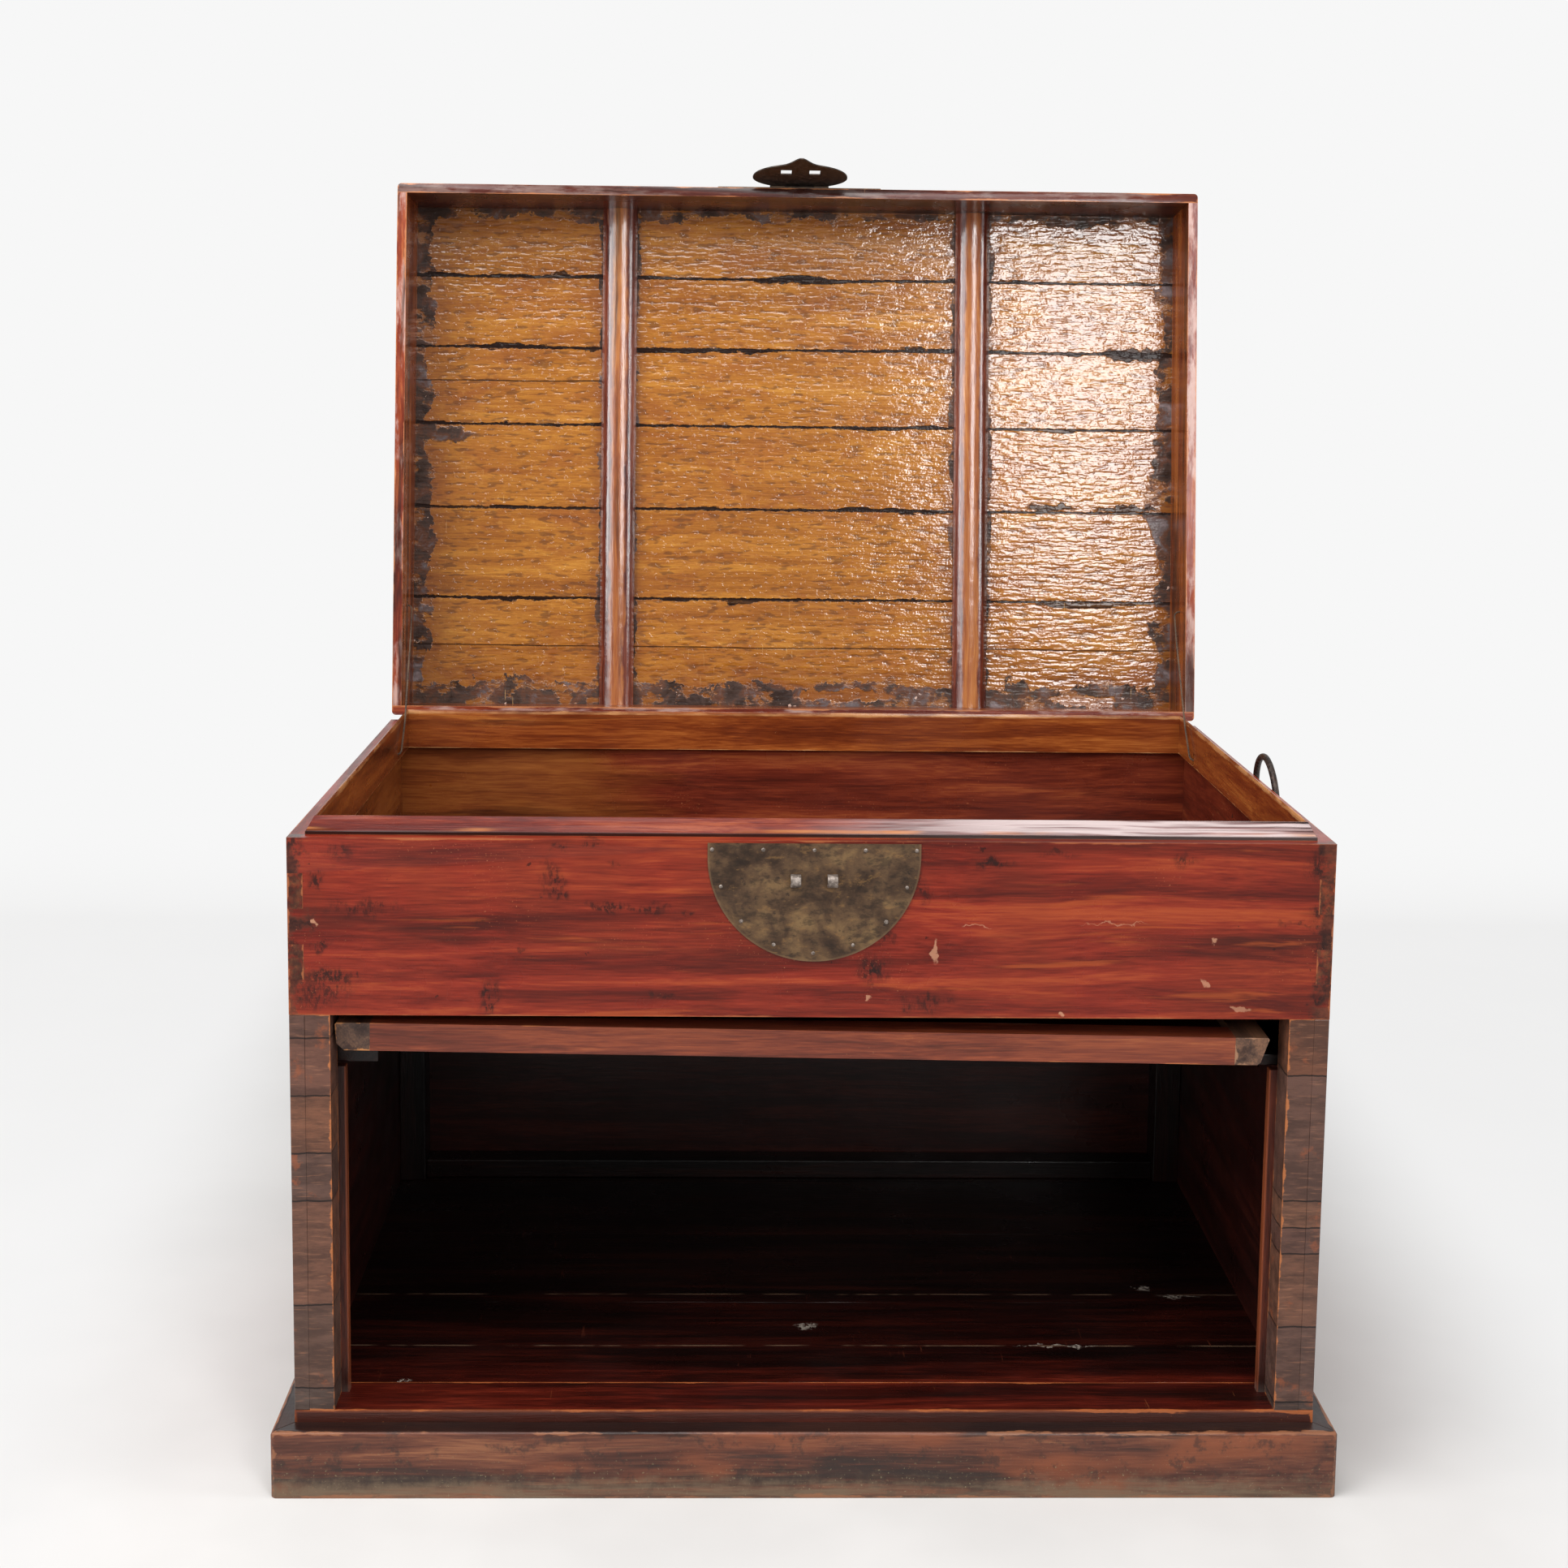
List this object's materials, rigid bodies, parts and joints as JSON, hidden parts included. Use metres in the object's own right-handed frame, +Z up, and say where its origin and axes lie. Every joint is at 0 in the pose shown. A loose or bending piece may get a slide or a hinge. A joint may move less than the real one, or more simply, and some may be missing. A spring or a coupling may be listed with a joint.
{
  "type": "wooden chest",
  "caption": "Lacquered wooden storage chest with a hinged lid on cord stays, a lower compartment with a stowed sliding front panel, a hasp lock plate and bail side handles.",
  "frame": {"origin": "on the floor, under the middle of the box round the whole chest with its lid open", "axes": "+Z up, +Y from the front to the back, +X to the right as seen from the front"},
  "size_m": [1.26, 1.0682, 1.6236],
  "materials": {
    "lacquered_wood": "worn red-brown lacquer, half gloss",
    "dark_wood": "dark stained wood, worn",
    "golden_wood": "varnished golden brown wood",
    "plinth_wood": "dark brown wood with worn edges",
    "aged_brass": "aged, brown with darker patches",
    "dark_iron": "forged iron, dark and dry",
    "cord": "twisted cord, matt"
  },
  "bodies": {
    "carcass": {"plinth_front": "plinth_wood", "plinth_back": "plinth_wood", "plinth_left": "plinth_wood", "plinth_right": "plinth_wood", "floor_bearers": "plinth_wood", "sill_front": "lacquered_wood", "sill_back": "dark_wood", "floor_planks": "dark_wood", "front_post_left": "lacquered_wood", "front_post_right": "lacquered_wood", "rear_posts": "dark_wood", "back_foot_rail": "dark_wood", "lower_side_left": "lacquered_wood", "lower_side_right": "lacquered_wood", "lower_back": "lacquered_wood", "upper_front": "lacquered_wood", "upper_back": "lacquered_wood", "upper_left": "lacquered_wood", "upper_right": "lacquered_wood", "deck_bearers": "dark_wood", "deck_planks": "golden_wood", "lip_front": "golden_wood", "lip_back": "golden_wood", "lip_left": "golden_wood", "lip_right": "golden_wood", "stop_strips": "dark_wood", "runner_left": "dark_wood", "runner_right": "dark_wood", "lock_plate": "aged_brass", "staples": "dark_iron", "carcass_nails": "dark_iron", "handle_eyes": "dark_iron", "handle_roses": "aged_brass", "hinge_leaves_carcass": "dark_iron", "hinge_pins": "dark_iron", "stay_left": "cord", "stay_right": "cord"},
    "lid": {"hinge_leaves_lid": "dark_iron", "lid_rail_front": "lacquered_wood", "lid_rail_rear": "lacquered_wood", "lid_rail_left": "lacquered_wood", "lid_rail_right": "lacquered_wood", "lid_plank_1": "golden_wood", "lid_plank_2": "golden_wood", "lid_plank_3": "golden_wood", "lid_plank_4": "golden_wood", "lid_plank_5": "golden_wood", "lid_plank_6": "golden_wood", "lid_battens": "dark_wood", "lid_plate": "aged_brass", "lid_nails": "dark_iron", "hasp_pin": "dark_iron"},
    "hasp": {"hasp": "dark_iron"},
    "front_panel": {"panel_stile_left": "dark_wood", "panel_stile_right": "dark_wood", "panel_rail_front": "dark_wood", "panel_rail_rear": "dark_wood", "panel_planks": "dark_wood"},
    "left_bail": {"bail_left": "dark_iron"},
    "right_bail": {"bail_right": "dark_iron"}
  },
  "joints": [
    {"name": "lid_hinge", "type": "hinge", "parent": "carcass", "child": "lid", "pos_m": [0, 0.29673, 0.787], "axis": [1, 0, 0], "range_deg": [0, 97.5], "deforming": ["stay_left", "stay_right"]},
    {"name": "hasp_hinge", "type": "hinge", "parent": "lid", "child": "hasp", "pos_m": [0, 0.41651, 1.58953], "axis": [-1, 0, 0], "range_deg": [-9.5, 160]},
    {"name": "left_bail_hinge", "type": "hinge", "parent": "carcass", "child": "left_bail", "pos_m": [-0.617, -0.12907, 0.722], "axis": [0, 1, 0], "range_deg": [-3.5, 184]},
    {"name": "right_bail_hinge", "type": "hinge", "parent": "carcass", "child": "right_bail", "pos_m": [0.617, -0.12907, 0.722], "axis": [0, 1, 0], "range_deg": [0, 187]},
    {"name": "panel_slide", "type": "slide", "parent": "carcass", "child": "front_panel", "axis": [0, -1, 0], "range_m": [0, 0.45]}
  ]
}
